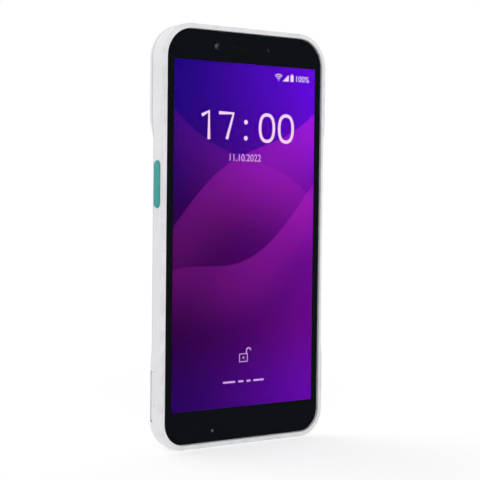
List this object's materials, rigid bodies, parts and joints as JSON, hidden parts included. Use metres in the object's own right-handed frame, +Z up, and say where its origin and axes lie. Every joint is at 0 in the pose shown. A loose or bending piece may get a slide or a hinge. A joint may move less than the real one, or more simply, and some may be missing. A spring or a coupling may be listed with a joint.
{
  "type": "portable barcode data terminal",
  "caption": "Slim handheld barcode data terminal with a glass touch display, scan window in the top end, side scan keys and a swing-out battery pack held by two latches.",
  "frame": {"origin": "middle of the flat bottom end, halfway through the body's depth", "axes": "+Z up along the body to the scan window, +Y from the screen towards the back, +X to the right seen from the screen side"},
  "size_m": [0.0784, 0.0152, 0.165],
  "materials": {
    "white_shell": "white moulded polycarbonate, fine satin texture",
    "white_key": "white moulded plastic, satin",
    "teal_key": "teal moulded plastic, satin",
    "grey_base": "dark grey moulded plastic",
    "cover_glass": "toughened glass, polished",
    "black_mask": "black ink printed under the glass",
    "adhesive": "black foam adhesive",
    "touch_film": "clear sensor film",
    "display": "lit colour display",
    "cast_metal": "die-cast magnesium, bead blasted",
    "can_steel": "tinned sheet steel",
    "screw_steel": "blackened steel",
    "weight_metal": "sintered heavy metal",
    "ring_metal": "anodised aluminium, turned",
    "mesh_steel": "blackened fine steel mesh",
    "spring_steel": "spring steel strip",
    "switch_steel": "pressed steel over black plastic",
    "board_green": "green solder mask on glass-fibre laminate",
    "flex_amber": "amber polyimide film",
    "ferrite": "ferrite sheet with a copper coil",
    "copper": "copper strip",
    "contact_gold": "gold-plated spring bronze",
    "cell_pouch": "aluminium laminate pouch",
    "black_plastic": "black moulded plastic",
    "lens_glass": "coated optical glass",
    "flash_lens": "clear moulded acrylic with a ribbed face",
    "scan_window": "deep red filter glass",
    "foam": "black foam",
    "grey_rubber": "grey silicone rubber"
  },
  "bodies": {
    "terminal": {"bay_connector": "black_plastic", "bay_contacts": "contact_gold", "board_screws": "screw_steel", "border_mask": "black_mask", "camera_ring": "ring_metal", "camera_window": "lens_glass", "card_holder": "can_steel", "cover_glass": "cover_glass", "display_panel": "display", "earpiece": "black_plastic", "earpiece_mesh": "mesh_steel", "flash_lens": "flash_lens", "front_camera": "black_plastic", "front_frame": "white_shell", "glass_adhesive": "adhesive", "housing_gasket": "grey_rubber", "housing_screws": "screw_steel", "left_key_flex": "flex_amber", "left_key_seal": "grey_rubber", "light_sensor": "black_plastic", "link_flex": "flex_amber", "loudspeaker": "black_plastic", "lower_board": "board_green", "lower_microphone": "can_steel", "main_board": "board_green", "memory_card": "black_plastic", "mid_frame": "cast_metal", "motor_boot": "grey_rubber", "near_field_antenna": "ferrite", "rear_camera": "black_plastic", "rear_housing": "white_shell", "right_key_flex": "flex_amber", "right_key_seal": "grey_rubber", "scan_engine": "black_plastic", "scan_lenses": "lens_glass", "scan_light_shield": "foam", "scan_window": "scan_window", "shield_cans": "can_steel", "side_switches": "switch_steel", "speaker_mesh": "mesh_steel", "touch_panel": "touch_film", "upper_antenna": "copper", "usb_seal": "grey_rubber", "usb_shell": "can_steel", "usb_tongue": "black_plastic", "vibration_motor": "can_steel"},
    "left_trigger": {"left_trigger_key": "teal_key"},
    "right_trigger": {"right_trigger_key": "teal_key"},
    "power": {"power_key": "white_key"},
    "volume": {"volume_rocker": "white_key"},
    "motor_rotor": {"motor_weight": "weight_metal"},
    "battery_pack": {"battery_cover": "white_shell", "battery_base": "grey_base", "battery_cell": "cell_pouch", "battery_board": "board_green", "left_latch_clip": "spring_steel", "right_latch_clip": "spring_steel"},
    "left_latch": {"left_latch_key": "white_key"},
    "right_latch": {"right_latch_key": "white_key"}
  },
  "joints": [
    {"name": "left_trigger_press", "type": "slide", "parent": "terminal", "child": "left_trigger", "axis": [1, 0, 0], "range_m": [0, 0.0005], "stiffness_N_per_m": 3000, "deforming": ["left_key_seal"]},
    {"name": "right_trigger_press", "type": "slide", "parent": "terminal", "child": "right_trigger", "axis": [-1, 0, 0], "range_m": [0, 0.0005], "stiffness_N_per_m": 3000, "deforming": ["right_key_seal"]},
    {"name": "power_press", "type": "slide", "parent": "terminal", "child": "power", "axis": [-1, 0, 0], "range_m": [0, 0.0005], "stiffness_N_per_m": 3000, "deforming": ["right_key_seal"]},
    {"name": "volume_rock", "type": "hinge", "parent": "terminal", "child": "volume", "pos_m": [0.0372, -0.0027, 0.1356], "axis": [0, 1, 0], "range_deg": [-2.5, 2.5], "stiffness_Nm_per_rad": 0.2, "deforming": ["right_key_seal"]},
    {"name": "battery_tilt", "type": "hinge", "parent": "terminal", "child": "battery_pack", "pos_m": [0, 0.0058, 0.09087], "axis": [1, 0, 0], "range_deg": [0, 20], "deforming": ["bay_contacts"]},
    {"name": "left_latch_press", "type": "slide", "parent": "battery_pack", "child": "left_latch", "axis": [1, 0, 0], "range_m": [0, 0.0008], "stiffness_N_per_m": 2500, "deforming": ["left_latch_clip"]},
    {"name": "right_latch_press", "type": "slide", "parent": "battery_pack", "child": "right_latch", "axis": [-1, 0, 0], "range_m": [0, 0.0008], "stiffness_N_per_m": 2500, "deforming": ["right_latch_clip"]},
    {"name": "motor_spin", "type": "hinge", "parent": "terminal", "child": "motor_rotor", "pos_m": [0.0165, 0.0015, 0.1145], "axis": [1, 0, 0], "continuous": true}
  ]
}
